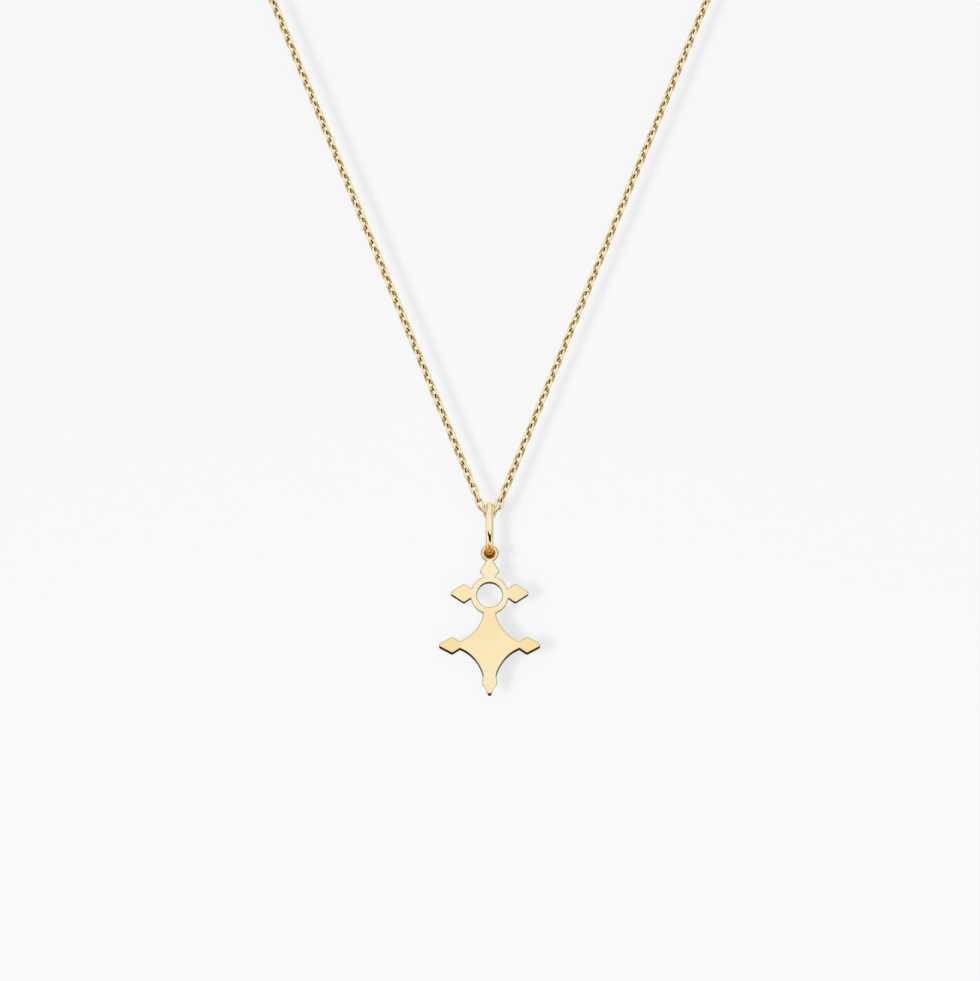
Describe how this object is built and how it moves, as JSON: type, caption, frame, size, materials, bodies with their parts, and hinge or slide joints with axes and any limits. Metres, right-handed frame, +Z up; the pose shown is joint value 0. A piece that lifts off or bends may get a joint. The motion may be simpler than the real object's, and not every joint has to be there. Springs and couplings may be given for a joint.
{
  "type": "tuareg cross pendant necklace",
  "caption": "Flat gold tuareg cross with a pierced ring and lozenge points, hanging by a round jump ring from a fine cable chain with a spring ring clasp at the nape.",
  "frame": {"origin": "at the nape, in the middle of the clasp, where the necklace rests on the back of the neck", "axes": "+Z up, -Y to the front, where the V of chain and the cross hang; +X to the right of someone who faces the front; the halves mirror each other in X"},
  "size_m": [0.1076, 0.0953, 0.1292],
  "materials": {
    "gold_sheet": "polished",
    "gold_wire": "polished",
    "gold_chain": "polished"
  },
  "bodies": {
    "neck_chain": {"chain_left": "gold_chain", "chain_right": "gold_chain", "clasp": "gold_wire"},
    "bail": {"bail_ring": "gold_wire"},
    "cross": {"cross_pendant": "gold_sheet"}
  },
  "joints": [
    {"name": "bail_swing", "type": "hinge", "parent": "neck_chain", "child": "bail", "pos_m": [0, -0.092, -0.108], "axis": [1, 0, 0], "range_deg": [-90, 90]},
    {"name": "cross_swing", "type": "hinge", "parent": "bail", "child": "cross", "pos_m": [0, -0.092, -0.11195], "axis": [0, 1, 0], "range_deg": [-90, 90]}
  ]
}
